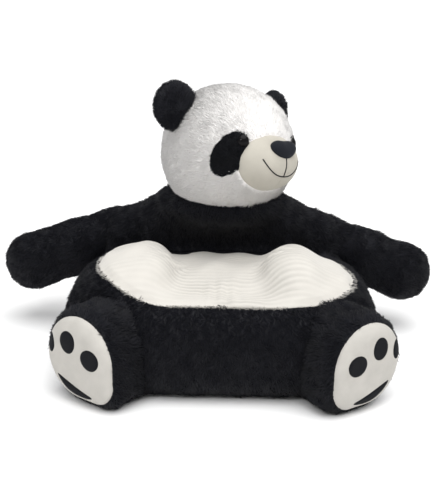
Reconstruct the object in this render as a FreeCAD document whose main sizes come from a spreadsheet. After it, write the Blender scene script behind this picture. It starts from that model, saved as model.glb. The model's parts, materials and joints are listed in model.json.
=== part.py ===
"""Plush panda armchair: a low stuffed seat with a panda's head, arms and feet.

Millimetres, +Z up. The origin is on the floor under the middle of the seat.
The seat opens towards -Y, and the toy's own left side is +X.
Every cover is a 4 mm pile fabric round a closed body of loose filling.
"""
import FreeCAD, Part
import os
import re

# name, value in millimetres or degrees or a rule over the sizes above it, what it is
SIZES = [
    ("pile_cover", 4, "thickness of the pile fabric"),
    ("turn_gap", 0.4, "clearance between a filled ball and its socket"),
    # seat
    ("base_width", 515, "seat drum, side to side"),
    ("base_depth", 400, "seat drum, front to back"),
    ("base_height", 150, "seat drum, floor to top"),
    ("base_corner", 160, "plan radius of the drum's corners"),
    ("base_round", 64, "radius of the drum's upper edge"),
    ("foot_round", 34, "radius of the drum's lower edge"),
    ("lobe_out", "=base_width/2 - 97.5", "middle of an armrest lobe from the middle of the seat"),
    ("lobe_forward", 34, "middle of an armrest lobe in front of the seat's middle"),
    ("lobe_level", "=base_height - 32", "height of an armrest lobe's middle"),
    ("lobe_wide", 86, "half width of an armrest lobe"),
    ("lobe_long", "=base_depth*0.305", "half length of an armrest lobe"),
    ("lobe_tall", 93, "half height of an armrest lobe"),
    ("panel_width", "=base_width - 89", "ribbed seat panel, side to side"),
    ("panel_front", "=base_depth/2 - 42", "front edge of the seat panel from the middle"),
    ("panel_corner", 106, "plan radius of the seat panel's corners"),
    # back
    ("back_width", "=base_width - 199", "back pillow between the arms"),
    ("back_depth", 116, "back pillow, front to back"),
    ("panel_back", "=base_depth/2 - back_depth + pile_cover",
     "rear edge of the seat panel from the middle, just inside the back pillow"),
    ("back_foot", "=base_height - 80", "lowest level of the back pillow"),
    ("back_top", "=base_height + 98", "highest level of the back pillow"),
    ("back_shoulder", 78, "radius of the back pillow's upper corners, seen from the front"),
    ("back_round", 46, "radius of the back pillow's front and rear edges"),
    # neck and head
    ("neck_side", 7, "middle of the neck filling to the toy's left"),
    ("neck_back", "=base_depth/2 - back_depth/2 - 16", "middle of the neck filling behind the seat's middle"),
    ("neck_level", "=back_top + 24", "height of the neck filling's middle"),
    ("neck_ball", 48, "radius of the neck filling"),
    ("chin_level", "=back_top + 16", "level at which the head's underside is trimmed"),
    ("head_side", 8, "middle of the head to the toy's left"),
    ("head_back", "=neck_back - 18", "middle of the head behind the seat's middle"),
    ("head_level", "=back_top + 98", "height of the head's middle"),
    ("head_wide", 117, "half width of the head"),
    ("head_deep", 113, "half depth of the head"),
    ("head_tall", 111, "half height of the head"),
    ("head_yaw", 42, "turn of the face to the toy's left"),
    ("head_tilt", 9, "sideways tilt of the head"),
    # muzzle, nose and mouth
    ("muzzle_forward", "=head_deep - 25", "middle of the muzzle in front of the head's middle"),
    ("muzzle_drop", 9, "middle of the muzzle below the head's middle"),
    ("muzzle_wide", 63, "half width of the muzzle"),
    ("muzzle_deep", 56, "half depth of the muzzle"),
    ("muzzle_tall", 48, "half height of the muzzle"),
    ("nose_forward", "=muzzle_forward + muzzle_deep - 15", "middle of the nose in front of the head's middle"),
    ("nose_rise", 19, "middle of the nose above the head's middle"),
    ("nose_wide", 26, "half width of the nose"),
    ("nose_deep", 14, "half depth of the nose"),
    ("nose_tall", 17, "half height of the nose"),
    ("smile_radius", 44, "radius of the smile"),
    ("smile_rise", 19, "middle of the smile's circle above the head's middle"),
    ("smile_end", 0, "ends of the smile above the head's middle"),
    ("stitch_width", 3.2, "width of the embroidered line"),
    ("stitch_lift", 1.2, "height of the embroidered line above the cloth"),
    # eyes
    ("eye_yaw", 32, "turn of an eye from the middle of the face"),
    ("eye_pitch", 13, "rise of an eye above the head's middle, as an angle"),
    ("eye_out", "=head_deep + 1", "root of the eye's dome from the head's middle"),
    ("eye_dome", 10, "radius of the eye's dome"),
    ("eye_bulge", 6.5, "how far the eye's dome stands out"),
    ("stem_radius", 2.5, "radius of the eye's stem"),
    ("stem_length", 17, "length of the eye's stem behind the dome"),
    ("stem_root", 4, "how far the eye's stem reaches into the dome"),
    ("washer_radius", 9, "radius of the locking washer"),
    ("washer_thick", 2.5, "thickness of the locking washer"),
    ("washer_depth", 11, "face of the locking washer behind the dome"),
    ("patch_yaw", 42, "turn of an eye patch from the middle of the face"),
    ("patch_pitch", 4, "rise of an eye patch, as an angle"),
    ("patch_slant", 62, "slant of an eye patch's long axis"),
    ("patch_long", 42, "half length of an eye patch"),
    ("patch_wide", 28, "half width of an eye patch"),
    ("patch_lift", 1.5, "height of an eye patch above the head's cloth"),
    # ears
    ("ear_splay", 60, "lean of an ear from upright"),
    ("ear_lean", 9, "backward lean of an ear"),
    ("ear_out", "=head_wide + 5", "fold line of an ear from the head's middle"),
    ("ear_centre", 14, "middle of the ear above its fold line"),
    ("ear_wide", 39, "half width of an ear"),
    ("ear_thick", 15, "half thickness of an ear"),
    ("ear_tall", 38, "half height of an ear"),
    ("ear_gap", 6, "gap between the ear's lower edge and the head"),
    ("ear_roll", 5.5, "radius of the rolled seam that the ear folds on"),
    ("ear_roll_length", 66, "length of the rolled seam"),
    # arms
    ("arm_pivot_out", "=base_width/2 - 67.5", "shoulder from the middle of the seat"),
    ("arm_pivot_back", "=base_depth/2 - 32", "shoulder behind the seat's middle"),
    ("arm_pivot_level", "=back_top - 67", "height of the shoulder"),
    ("arm_radius", 49, "radius of an arm"),
    ("arm_reach", 160, "shoulder to the middle of the paw's round end"),
    ("arm_drop", 18, "slope of an arm below level"),
    ("arm_forward", 6, "sweep of an arm towards the front"),
    ("arm_socket", 1.6, "clearance round an arm's root in the back"),
    ("shoulder_ball", 34, "radius of the filling inside an arm's root"),
    ("arm_opening", 30, "radius of the seam opening at an arm's root"),
    # feet
    ("foot_out", "=base_width/2 - 125.5", "rear of a foot from the middle of the seat"),
    ("foot_front", "=base_depth/2 - 122", "rear of a foot in front of the seat's middle"),
    ("foot_yaw", 37, "turn of a foot outwards"),
    ("foot_radius", 77, "radius of a foot"),
    ("foot_length", 158, "length of a foot"),
    ("foot_edge", "=foot_radius*0.44", "radius of a foot's front edge"),
    ("sole_radius", "=foot_radius - 9", "radius of the sole panel"),
    ("sole_depth", 40, "how far back the sole panel's cut reaches"),
    ("sole_turn", 29, "turn of the pads on the sole, outer side up"),
    ("pad_lift", 1.5, "height of a pad above the sole"),
    ("toe_radius", "=foot_radius*0.22", "radius of a toe pad"),
    ("toe_row", "=foot_radius*0.1", "toe pads above the middle of the sole"),
    ("toe_inner", "=foot_radius*-0.34", "inner toe pad along the row"),
    ("toe_middle", "=foot_radius*0.26", "middle toe pad along the row"),
    ("toe_outer", "=foot_radius*0.73", "outer toe pad along the row"),
    ("heel_long", "=foot_radius*0.545", "half length of the heel pad"),
    ("heel_wide", "=foot_radius*0.21", "half width of the heel pad"),
    ("heel_shift", "=foot_radius*-0.21", "middle of the heel pad along the row"),
    ("heel_row", "=foot_radius*-0.585", "heel pad below the middle of the sole"),
]
SIDES = (("left", 1), ("right", -1))
LONG = 300  # length of a cutting tool that has to pass right through
NAMES = {name for name, _, _ in SIZES}

doc = FreeCAD.newDocument("plush_panda_armchair")
sheet = doc.addObject("Spreadsheet::Sheet", "Sizes")
for line, (name, value, note) in enumerate(SIZES, start=1):
    sheet.set("A%d" % line, name)
    sheet.set("B%d" % line, str(value))
    sheet.setAlias("B%d" % line, name)
    sheet.set("C%d" % line, note)
doc.recompute()
nodes = []


# ---- small helpers: every size is a rule over the sheet's names

def rule(words):
    """Turn a rule such as 'base_width/2 - pile_cover' into an expression on the sheet."""
    return re.sub(r"[a-z]+_[a-z_]+", lambda found: "Sizes." + found.group()
                  if found.group() in NAMES else found.group(), str(words))


def bind(thing, **sizes):
    """Bind properties of a document object to rules."""
    for prop, words in sizes.items():
        thing.setExpression(prop, rule(words))


def put(thing, at=(0, 0, 0), turn=(0, 0, 0), frame=None):
    """Bind an object's placement: a point, yaw-pitch-roll angles, and a frame to measure from."""
    place = "placement(vector(%s; %s; %s); rotation(%s; %s; %s))" % tuple(
        rule(words) for words in (*at, *turn))
    if frame is not None:
        place = frame.Name + ".Placement * " + place
    thing.setExpression("Placement", place)
    return thing


def primitive(kind, name, at=(0, 0, 0), turn=(0, 0, 0), frame=None, **sizes):
    thing = doc.addObject("Part::" + kind, name)
    bind(thing, **sizes)
    return put(thing, at, turn, frame)


def ellipsoid(name, wide, deep, tall, at=(0, 0, 0), turn=(0, 0, 0), frame=None):
    return primitive("Ellipsoid", name, at, turn, frame, Radius1=tall, Radius2=wide, Radius3=deep)


def frame_at(name, at, turn=(0, 0, 0), frame=None):
    """A point with axes, which the pieces of a head, limb or ear are placed from."""
    return primitive("Vertex", name, at, turn, frame)


def cut(name, base, *tools):
    tool = tools[0] if len(tools) == 1 else fuse(name + "_tools", *tools)
    made = doc.addObject("Part::Cut", name)
    made.Base, made.Tool = base, tool
    return made


def fuse(name, *shapes):
    made = doc.addObject("Part::MultiFuse", name)
    made.Shapes = list(shapes)
    return made


def common(name, *shapes):
    made = doc.addObject("Part::MultiCommon", name)
    made.Shapes = list(shapes)
    return made


def node(made, name):
    """Mark a finished sub-part: its Label is its file's name."""
    made.Label = name
    nodes.append(made)
    return made


def edges(feature, wanted):
    return ["Edge%d" % number for number, edge in enumerate(feature.Shape.Edges, start=1)
            if wanted(edge.BoundBox)]


def rounded(body, base, names, radius, label):
    """Add a fillet to a body on the named edges of its last feature."""
    doc.recompute()
    fillet = doc.addObject("PartDesign::Fillet", body.Name + label)
    body.addObject(fillet)
    fillet.Base = (base, names)
    bind(fillet, Radius=radius)
    return fillet


def block(name, wide, deep, tall, low, back, corner, top=None, bottom=None):
    """A box with rounded upright edges and, if asked, rounded top and bottom rims."""
    body = doc.addObject("PartDesign::Body", name)
    box = doc.addObject("PartDesign::AdditiveBox", name + "_box")
    body.addObject(box)
    bind(box, Length=wide, Width=deep, Height=tall)
    doc.recompute()
    last = rounded(body, box, edges(box, lambda size: size.ZLength > 1), corner, "_corners")
    for radius, level, label in ((top, 1, "_top"), (bottom, 0, "_bottom")):
        if radius is None:
            continue
        doc.recompute()
        height = last.Shape.BoundBox.ZMax * level
        rim = edges(last, lambda size: size.ZLength < 0.01 and abs(size.ZMin - height) < 0.01)
        last = rounded(body, last, rim, radius, label)
    put(body, at=("-(%s)/2" % wide, "(%s) - (%s)" % (back, deep), low))
    doc.recompute()
    return body


def drum(name, radius, length, edge, start, frame):
    """A round bar along the frame's Z with a rounded front rim."""
    body = doc.addObject("PartDesign::Body", name)
    bar = doc.addObject("PartDesign::AdditiveCylinder", name + "_bar")
    body.addObject(bar)
    bind(bar, Radius=radius, Height=length)
    doc.recompute()
    front = edges(bar, lambda size: size.ZMin > bar.Shape.BoundBox.ZMax - 0.01)
    rounded(body, bar, front, edge, "_edge")
    put(body, at=(0, 0, start), frame=frame)
    return body


def oval_cutter(name, long, wide, depth, at, turn, frame, slant=0):
    """A long oval body set across a surface, to cut an oval patch from a layer on it."""
    seat = frame_at(name + "_seat", (0, 0, 0), turn, frame)
    return ellipsoid(name, long, wide, depth, at=at, turn=(slant, 0, 0), frame=seat)


# ---- frames that the head, arms and feet are placed from

head_frame = frame_at("head_frame", ("head_side", "head_back", "head_level"),
                      ("head_yaw", "head_tilt", 0))
neck_frame = frame_at("neck_frame", ("neck_side", "neck_back", "neck_level"))
arm_frames = {side: frame_at(side + "_arm_frame",
                             ("%d*arm_pivot_out" % sign, "arm_pivot_back", "arm_pivot_level"),
                             ("%d*arm_forward" % -sign, "%d*(90 + arm_drop)" % sign, 0))
              for side, sign in SIDES}
foot_frames = {side: frame_at(side + "_foot_frame",
                              ("%d*foot_out" % sign, "-foot_front", "foot_radius"),
                              ("%d*foot_yaw" % sign, 0, 90))
               for side, sign in SIDES}


# ---- seat

def seat_body(name, skin):
    """The seat drum and its two armrest lobes; skin insets every face."""
    low_drum = block(name + "_drum", "base_width - 2*%s" % skin, "base_depth - 2*%s" % skin,
                     "base_height - 2*%s" % skin, skin, "base_depth/2 - %s" % skin,
                     "base_corner - %s" % skin, "base_round - %s" % skin,
                     "foot_round - %s" % skin)
    lobes = [ellipsoid("%s_%s_lobe" % (name, side), "lobe_wide - %s" % skin,
                       "lobe_long - %s" % skin, "lobe_tall - %s" % skin,
                       at=("%d*lobe_out" % sign, "-lobe_forward", "lobe_level"))
             for side, sign in SIDES]
    return fuse(name, low_drum, *lobes)


seat_outer = seat_body("seat_outer", "0")
seat_inner = seat_body("seat_inner", "pile_cover")
arm_sockets = fuse("arm_sockets", *[
    primitive("Sphere", side + "_arm_socket", frame=arm_frames[side],
              Radius="arm_radius + arm_socket") for side, _ in SIDES])
node(cut("seat_stuffing", seat_inner, arm_sockets), "seat_stuffing")

panel_outline = block("panel_outline", "panel_width", "panel_front + panel_back", LONG,
                      "base_height - base_round/2", "panel_back", "panel_corner")
bottom_cloth = node(
    block("bottom_cloth", "base_width - 2*foot_round", "base_depth - 2*foot_round",
          "pile_cover", "0", "base_depth/2 - foot_round", "base_corner - foot_round"),
    "bottom_cloth")
seat_skin = cut("seat_skin", seat_outer, seat_inner)
node(common("seat_panel", seat_skin, panel_outline), "seat_panel")
node(cut("base_cover", seat_skin, panel_outline, bottom_cloth, arm_sockets), "base_cover")


# ---- back, with sockets for the neck and the arms

def back_body(name, skin):
    """An upright pillow with round shoulders; skin insets every face but the lowest."""
    body = doc.addObject("PartDesign::Body", name)
    box = doc.addObject("PartDesign::AdditiveBox", name + "_box")
    body.addObject(box)
    bind(box, Length="back_width - 2*%s" % skin, Width="back_depth - 2*%s" % skin,
         Height="back_top - back_foot - %s" % skin)
    doc.recompute()
    shoulders = edges(box, lambda size: size.YLength > 1 and size.ZMin > 1)
    bent = rounded(body, box, shoulders, "back_shoulder - %s" % skin, "_shoulders")
    doc.recompute()
    outline = edges(bent, lambda size: size.YLength < 0.01 and size.ZMax > 1)
    rounded(body, bent, outline, "back_round - %s" % skin, "_outline")
    put(body, at=("%s - back_width/2" % skin, "base_depth/2 - back_depth + %s" % skin,
                  "back_foot"))
    return body


neck_socket = primitive("Sphere", "neck_socket", frame=neck_frame, Radius="neck_ball + turn_gap")
back_outer = back_body("back_outer", "0")
back_inner = back_body("back_inner", "pile_cover")
back_clear = fuse("back_clear", neck_socket, seat_outer, arm_sockets)
back_skin = cut("back_skin", back_outer, back_inner)
node(cut("back_cover", back_skin, back_clear), "back_cover")
node(cut("back_stuffing", back_inner, back_clear), "back_stuffing")
node(primitive("Sphere", "neck_stuffing", frame=neck_frame, Radius="neck_ball"), "neck_stuffing")


# ---- head

def skull(name, grow):
    return ellipsoid(name, "head_wide + %s" % grow, "head_deep + %s" % grow,
                     "head_tall + %s" % grow, frame=head_frame)


def muzzle(name, grow):
    return ellipsoid(name, "muzzle_wide + %s" % grow, "muzzle_deep + %s" % grow,
                     "muzzle_tall + %s" % grow, at=(0, "-muzzle_forward", "-muzzle_drop"),
                     frame=head_frame)


skull_outer = skull("skull_outer", "0")
skull_inner = skull("skull_inner", "(-pile_cover)")
muzzle_outer = muzzle("muzzle_outer", "0")
muzzle_inner = muzzle("muzzle_inner", "(-pile_cover)")
chin_trim = primitive("Box", "chin_trim", at=(-LONG, -LONG, 0),
                      Length=2 * LONG, Width=2 * LONG, Height="chin_level")

eye_frames = {side: frame_at(side + "_eye_frame", (0, 0, 0),
                             ("%d*eye_yaw" % sign, 0, "90 - eye_pitch"), head_frame)
              for side, sign in SIDES}
stems = {side: primitive("Cylinder", side + "_eye_stem", at=(0, 0, "eye_out - stem_length"),
                         frame=eye_frames[side], Radius="stem_radius",
                         Height="stem_length + stem_root")
         for side, _ in SIDES}
washer_blanks = {side: primitive("Cylinder", side + "_washer_blank",
                                 at=(0, 0, "eye_out - washer_depth - washer_thick"),
                                 frame=eye_frames[side], Radius="washer_radius",
                                 Height="washer_thick")
                 for side, _ in SIDES}

head_clear = fuse("head_clear", neck_socket, chin_trim, *stems.values())
head_skin = cut("head_skin", skull_outer, skull_inner)
node(cut("head_cover", head_skin, head_clear), "head_cover")
head_pockets = fuse("head_pockets", head_clear, *washer_blanks.values())
node(cut("head_stuffing", skull_inner, head_pockets), "head_stuffing")

node(cut("muzzle_stuffing", muzzle_inner, skull_outer), "muzzle_stuffing")
muzzle_skin = cut("muzzle_skin", muzzle_outer, muzzle_inner)
node(cut("muzzle_cover", muzzle_skin, skull_outer), "muzzle_cover")
nose_full = ellipsoid("nose_full", "nose_wide", "nose_deep", "nose_tall",
                      at=(0, "-nose_forward", "nose_rise"), frame=head_frame)
node(cut("nose", nose_full, muzzle_outer, skull_outer), "nose")


def mouth():
    """The smile and the line up to the nose, one raised band on the muzzle."""
    layer = cut("mouth_layer", muzzle("mouth_raised", "stitch_lift"), muzzle_outer)
    smile = [primitive("Cylinder", "smile_" + name, at=(0, "-muzzle_forward", "smile_rise"),
                       turn=(0, 0, 90),
                       frame=head_frame, Radius=radius, Height=LONG)
             for name, radius in (("outside", "smile_radius + stitch_width/2"),
                                  ("inside", "smile_radius - stitch_width/2"))]
    ring = cut("smile_ring", *smile)
    lower = primitive("Box", "smile_lower", frame=head_frame,
                      at=(-LONG / 2, "-muzzle_forward - %d" % LONG, "smile_end - %d" % LONG),
                      Length=LONG, Width=LONG, Height=LONG)
    arc = common("smile_arc", ring, lower)
    line = primitive("Box", "smile_line",
                     at=("-stitch_width/2", "-muzzle_forward - %d" % LONG,
                         "smile_rise - smile_radius"),
                     frame=head_frame, Length="stitch_width", Width=LONG,
                     Height="nose_rise - smile_rise + smile_radius")
    band = common("mouth_band", layer, fuse("mouth_outline", arc, line))
    node(cut("mouth_stitches", band, nose_full, skull_outer), "mouth_stitches")


def eye(side, sign):
    """A patch of dark plush, a safety eye through it, and the washer that locks it."""
    layer = cut(side + "_patch_layer", skull(side + "_patch_raised", "patch_lift"), skull_outer)
    outline = oval_cutter(side + "_patch_outline", "patch_long", "patch_wide", "head_deep/2",
                          (0, 0, "head_deep"), ("%d*patch_yaw" % sign, 0, "90 - patch_pitch"),
                          head_frame, slant="%d*patch_slant" % -sign)
    patch = common(side + "_patch_whole", layer, outline)
    node(cut(side + "_eye_patch", patch, muzzle_outer, stems[side]), side + "_eye_patch")
    dome = ellipsoid(side + "_eye_dome", "eye_dome", "eye_dome", "eye_bulge",
                     at=(0, 0, "eye_out"), frame=eye_frames[side])
    shown = cut(side + "_eye_cap", dome, skull(side + "_patch_top", "patch_lift"))
    node(fuse(side + "_eye", shown, stems[side]), side + "_eye")
    node(cut(side + "_eye_washer", washer_blanks[side], stems[side]), side + "_eye_washer")


def ear(side, sign):
    """A flat round ear that folds on a rolled seam just clear of the head."""
    hinge = frame_at(side + "_ear_frame", (0, 0, 0),
                     (0, "%d*ear_splay" % sign, "-ear_lean"), head_frame)
    root = frame_at(side + "_ear_root", (0, 0, "ear_out"), frame=hinge)
    outer, inner = [
        ellipsoid("%s_ear_%s" % (side, name), "ear_wide - %s" % skin, "ear_thick - %s" % skin,
                  "ear_tall - %s" % skin, at=(0, 0, "ear_centre"), frame=root)
        for name, skin in (("outer", "0"), ("inner", "pile_cover"))]
    roll = primitive("Cylinder", side + "_ear_roll", at=("-ear_roll_length/2", 0, 0),
                     turn=(0, 90, 0), frame=root, Radius="ear_roll", Height="ear_roll_length")
    head_gap = skull(side + "_ear_gap", "ear_gap")
    node(cut(side + "_ear_stuffing", inner, head_gap, roll), side + "_ear_stuffing")
    skin = cut(side + "_ear_skin", cut(side + "_ear_shell", outer, inner), head_gap)
    node(fuse(side + "_ear_cover", skin, roll), side + "_ear_cover")


# ---- arms

def arm(side):
    """A straight stuffed arm, round at both ends, open where it is sewn to the back."""
    frame = arm_frames[side]

    def limb(name, skin):
        radius = "arm_radius - %s" % skin
        return fuse("%s_arm_%s" % (side, name), *[
            primitive(kind, "%s_arm_%s_%s" % (side, name, end), at=(0, 0, start), frame=frame,
                      Radius=radius, **length)
            for kind, end, start, length in (("Sphere", "root", 0, {}),
                                             ("Cylinder", "tube", 0, {"Height": "arm_reach"}),
                                             ("Sphere", "paw", "arm_reach", {}))])

    outer, inner = limb("outer", "0"), limb("inner", "pile_cover")
    opening = primitive("Cylinder", side + "_arm_opening", at=(0, 0, "-2*arm_radius"),
                        frame=frame, Radius="arm_opening", Height="2*arm_radius")
    hollow = primitive("Sphere", side + "_shoulder_hollow", frame=frame,
                       Radius="shoulder_ball + turn_gap")
    node(primitive("Sphere", side + "_shoulder_stuffing", frame=frame, Radius="shoulder_ball"),
         side + "_shoulder_stuffing")
    node(cut(side + "_arm_stuffing", inner, opening, hollow), side + "_arm_stuffing")
    skin = cut(side + "_arm_skin", outer, inner)
    node(cut(side + "_arm_cover", skin, opening), side + "_arm_cover")


# ---- feet

def foot(side, sign):
    """A stubby foot with a pale sole, three round toe pads and a long heel pad."""
    frame = foot_frames[side]

    def bar(name, grow):
        return drum("%s_foot_%s" % (side, name), "foot_radius + %s" % grow,
                    "foot_length + %s" % grow, "foot_edge + %s" % grow, 0, frame)

    outer, inner, raised = bar("outer", "0"), bar("inner", "(-pile_cover)"), bar("pads", "pad_lift")
    skin = cut(side + "_foot_skin", outer, inner, seat_outer)
    sole_zone = primitive("Cylinder", side + "_sole_zone", at=(0, 0, "foot_length - sole_depth"),
                          frame=frame, Radius="sole_radius", Height="2*sole_depth")
    node(common(side + "_sole_panel", skin, sole_zone), side + "_sole_panel")
    node(cut(side + "_foot_cover", skin, sole_zone), side + "_foot_cover")
    node(cut(side + "_foot_stuffing", inner, seat_outer), side + "_foot_stuffing")

    layer = cut(side + "_pad_layer", raised, outer)
    pads = frame_at(side + "_pad_frame", (0, 0, "foot_length - foot_edge"),
                    ("%d*sole_turn" % sign, 0, 0), frame)
    for toe in ("inner", "middle", "outer"):
        spot = primitive("Cylinder", "%s_%s_toe_spot" % (side, toe),
                         at=("%d*toe_%s" % (sign, toe), "toe_row", 0), frame=pads,
                         Radius="toe_radius", Height="2*sole_depth")
        name = "%s_toe_pad_%s" % (side, toe)
        node(common(name, layer, spot), name)
    spot = oval_cutter(side + "_heel_spot", "heel_long", "heel_wide", "sole_depth",
                       ("%d*heel_shift" % sign, "heel_row", "foot_edge"), (0, 0, 0), pads)
    node(common(side + "_heel_pad", layer, spot), side + "_heel_pad")


mouth()
for side_name, side_sign in SIDES:
    eye(side_name, side_sign)
    ear(side_name, side_sign)
    arm(side_name)
    foot(side_name, side_sign)
doc.recompute()


# ---- check every object, then write each sub-part

def write_parts():
    bad = [thing.Name for thing in doc.Objects
           if {"Invalid", "Error"} & set(thing.State)]
    bad += [thing.Label for thing in nodes
            if thing.Shape.isNull() or not thing.Shape.isValid() or not thing.Shape.Solids]
    if bad:
        raise RuntimeError("failed objects: " + ", ".join(bad))
    os.makedirs("parts", exist_ok=True)
    for thing in nodes:
        thing.Shape.exportStep(os.path.join("parts", thing.Label + ".step"))
    print("wrote %d sub-parts" % len(nodes))


write_parts()
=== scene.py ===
# %% [markdown]
# # A plush panda armchair
# The toy is a low seat for a small child. Its cover is long black pile, its seat is a pale
# plush with narrow ribs, and a white head, two arms and two feet are sewn to it.
# The frame gives every place. Lengths are in metres, the seat opens towards -Y.

# %% The frame
import json
import math

import bpy
import numpy as np
from mathutils import Matrix, Vector


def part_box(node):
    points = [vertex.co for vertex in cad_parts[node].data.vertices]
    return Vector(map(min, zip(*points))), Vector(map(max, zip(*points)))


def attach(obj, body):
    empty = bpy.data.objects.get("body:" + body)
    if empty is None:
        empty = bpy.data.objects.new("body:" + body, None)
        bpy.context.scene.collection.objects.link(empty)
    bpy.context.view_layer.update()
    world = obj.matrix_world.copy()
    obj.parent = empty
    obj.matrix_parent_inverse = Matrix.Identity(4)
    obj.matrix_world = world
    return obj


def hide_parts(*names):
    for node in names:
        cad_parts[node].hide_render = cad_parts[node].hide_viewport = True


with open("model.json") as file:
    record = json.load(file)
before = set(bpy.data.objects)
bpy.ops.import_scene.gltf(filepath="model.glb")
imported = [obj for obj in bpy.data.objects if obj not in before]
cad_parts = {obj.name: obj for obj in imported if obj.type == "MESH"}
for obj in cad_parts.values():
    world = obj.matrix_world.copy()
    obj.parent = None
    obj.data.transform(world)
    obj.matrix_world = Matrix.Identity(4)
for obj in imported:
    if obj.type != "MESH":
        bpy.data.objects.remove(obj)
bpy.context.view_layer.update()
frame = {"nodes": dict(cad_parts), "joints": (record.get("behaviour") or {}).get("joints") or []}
joint = {entry["name"]: np.array(entry["pos_m"]) for entry in frame["joints"] if "pos_m" in entry}
SIDES = (("left", 1), ("right", -1))
MM = 0.001
print("the frame holds", len(frame["nodes"]), "nodes and", len(joint), "hinges")

# %% [markdown]
# ## Arithmetic on shader sockets
# A finish is easier to read as a sum than as a web of nodes. This class wraps one socket,
# and each operator adds its Math node. Colours and vectors have their own methods.

# %% A socket that does sums


class Wire:
    """One output socket of a material. Operators add Math nodes to its tree."""

    def __init__(self, tree, socket):
        self.tree, self.socket = tree, socket

    def math(self, operation, *others):
        return add_node(self.tree, "ShaderNodeMath", {"operation": operation},
                        dict(enumerate((self, *others))))

    def __add__(self, other):
        return self.math("ADD", other)

    def __sub__(self, other):
        return self.math("SUBTRACT", other)

    def __mul__(self, other):
        return self.math("MULTIPLY", other)

    def __pow__(self, other):
        return self.math("POWER", other)

    def __rsub__(self, other):
        return (self * -1.0) + other

    __radd__, __rmul__ = __add__, __mul__

    def clamp(self):
        return self.math("MAXIMUM", 0.0).math("MINIMUM", 1.0)

    def between(self, low, high):
        """0 below low, 1 above high, and a straight rise between them."""
        return ((self - low) * (1.0 / (high - low))).clamp()

    def mix(self, first, second):
        """A colour that goes from first to second as this value goes from 0 to 1."""
        return add_node(self.tree, "ShaderNodeMix", {"data_type": "RGBA"},
                        {0: self, 6: first, 7: second}, out=2)


def add_node(tree, kind, settings, inputs, out=0):
    """Add any node: its settings first, then the values or wires of its sockets."""
    made = tree.nodes.new(kind)
    for name, value in settings.items():
        setattr(made, name, value)
    for name, value in inputs.items():
        if isinstance(value, Wire):
            tree.links.new(value.socket, made.inputs[name])
        else:
            made.inputs[name].default_value = value
    return Wire(tree, made.outputs[out])


def finish_of(name, roughness, sheen=0.0, gleam=0.5):
    """A material with one Principled shader; uniform values sit on its own sockets."""
    material = bpy.data.materials.new(name)
    material.use_nodes = True
    shader = material.node_tree.nodes["Principled BSDF"]
    for socket, value in (("Roughness", roughness), ("Sheen Weight", sheen),
                          ("Sheen Roughness", 0.4), ("Specular IOR Level", gleam)):
        shader.inputs[socket].default_value = value
    return material, material.node_tree, shader


def feed(tree, wire, shader, name):
    tree.links.new(wire.socket, shader.inputs[name])


def place(tree):
    """The point on the surface, in metres: every piece's object sits at the origin."""
    return add_node(tree, "ShaderNodeTexCoord", {}, {}, out="Object")


def speckle(tree, scale, detail=2.0, rough=0.5, at=None):
    return add_node(tree, "ShaderNodeTexNoise", {},
                    {"Vector": at or place(tree), "Scale": scale, "Detail": detail,
                     "Roughness": rough})


def bump(tree, height, depth, strength=1.0):
    return add_node(tree, "ShaderNodeBump", {},
                    {"Height": height, "Distance": depth, "Strength": strength})


def attribute(tree, name):
    return add_node(tree, "ShaderNodeAttribute", {"attribute_name": name}, {}, out="Fac")


print("sums on sockets are ready")

# %% [markdown]
# ## Finishes
# Pile reads as pile because its roots are dark and its tips catch the light: the finish paints
# the roots darker as shade deep in the pile and the tips lighter as a painted highlight. Each lock
# carries a value `tip`, 0 at its root and 1 at its end, and a value `lot`, one for the
# whole lock. Velvet is short pile, so a fine speckle and a sheen are enough for it.

# %% Pile, velvet, cloth and plastic


def pile_finish(name, root, tip, sheen, patchy=0.25):
    """Pile: painted shade at the roots, painted highlight at the tips, and patches where it lies
    differently.
    """
    material, tree, shader = finish_of(name, 0.75, sheen=sheen, gleam=0.25)
    along = attribute(tree, "tip")
    lot = attribute(tree, "lot")
    lie = speckle(tree, 26.0, 3.0).between(0.3, 0.7)
    # painted light: the colour goes from painted shade at the root to a painted highlight at the
    # tip
    light = (along ** 0.8) * (1.0 - patchy) + lot * (patchy * 0.5) + lie * (patchy * 0.5)
    feed(tree, light.clamp().mix((*root, 1.0), (*tip, 1.0)), shader, "Base Color")
    feed(tree, (1.0 - lie * 0.2) * 0.8, shader, "Roughness")
    feed(tree, bump(tree, speckle(tree, 900.0), 0.4 * MM, 0.4), shader, "Normal")
    return material


def velvet_finish(name, dark, light, sheen, grain=1400.0):
    """Short velvet: a fine nap, brushed patches, and a soft sheen at grazing angles."""
    material, tree, shader = finish_of(name, 0.85, sheen=sheen, gleam=0.2)
    nap = speckle(tree, grain, 2.0, 0.6)
    brushed = speckle(tree, 38.0, 3.0).between(0.3, 0.7)
    shade = (nap * 0.45 + brushed * 0.55).clamp()
    feed(tree, shade.mix((*dark, 1.0), (*light, 1.0)), shader, "Base Color")
    feed(tree, 0.78 + brushed * 0.15, shader, "Roughness")
    feed(tree, bump(tree, nap, 0.25 * MM, 0.5), shader, "Normal")
    return material


def ribbed_finish(name):
    """Pale cut pile: the grooves between the ribs are painted greyer than their crowns, as shade.
    """
    material, tree, shader = finish_of(name, 0.9, sheen=0.35, gleam=0.15)
    crown = attribute(tree, "tip")
    nap = speckle(tree, 1100.0, 2.0, 0.6)
    soft = speckle(tree, 30.0, 3.0).between(0.3, 0.7)
    shade = (crown * 0.7 + nap * 0.15 + soft * 0.15).clamp()
    # painted shade: the grooves get the darker colour and the crowns the lighter one
    groove, lit_ridge = (0.40, 0.385, 0.355, 1.0), (0.595, 0.572, 0.53, 1.0)
    feed(tree, shade.mix(groove, lit_ridge), shader, "Base Color")
    feed(tree, 0.95 - soft * 0.1, shader, "Roughness")
    feed(tree, bump(tree, nap, 0.5 * MM, 0.5), shader, "Normal")
    return material


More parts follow.
